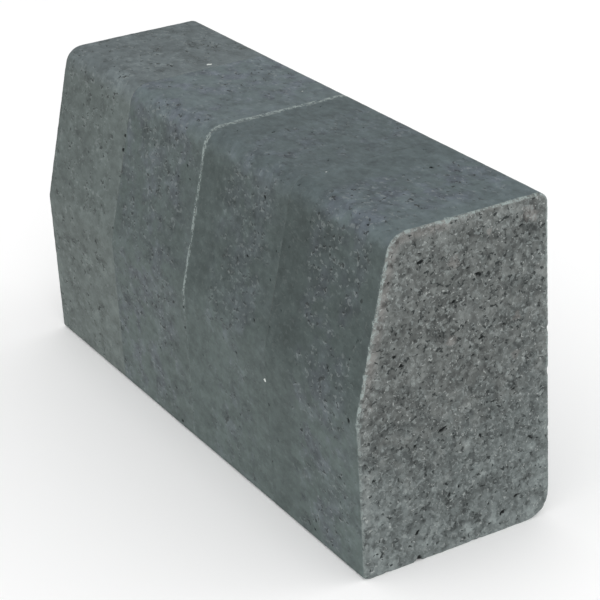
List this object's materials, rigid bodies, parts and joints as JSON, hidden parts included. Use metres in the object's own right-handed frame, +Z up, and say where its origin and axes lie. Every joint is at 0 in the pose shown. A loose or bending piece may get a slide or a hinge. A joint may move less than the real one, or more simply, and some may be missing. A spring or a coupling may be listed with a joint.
{
  "type": "half-battered kerb block run",
  "caption": "Dry-laid run of charcoal half-battered concrete kerb blocks butted end to end, each with an upright foot, a sloping upper road face and a rounded top edge.",
  "frame": {"origin": "middle of the run's base, on the bed it stands on", "axes": "+Z up, +X along the kerb line, -Y towards the road side that carries the batter, +Y towards the footway"},
  "size_m": [0.4014, 0.125, 0.2],
  "materials": {
    "concrete_1": "matt pressed concrete, grey green",
    "concrete_2": "matt pressed concrete, charcoal",
    "concrete_3": "matt pressed concrete, dark charcoal",
    "concrete_4": "matt pressed concrete, dark charcoal"
  },
  "bodies": {
    "block_1": {"kerb_block_1": "concrete_1"},
    "block_2": {"kerb_block_2": "concrete_2"},
    "block_3": {"kerb_block_3": "concrete_3"},
    "block_4": {"kerb_block_4": "concrete_4"}
  },
  "joints": [
    {"name": "block_2_lift", "type": "slide", "parent": "block_1", "child": "block_2", "axis": [0, 0, 1], "range_m": [0, 0.21]},
    {"name": "block_3_lift", "type": "slide", "parent": "block_1", "child": "block_3", "axis": [0, 0, 1], "range_m": [0, 0.21]},
    {"name": "block_4_lift", "type": "slide", "parent": "block_1", "child": "block_4", "axis": [0, 0, 1], "range_m": [0, 0.21]}
  ]
}
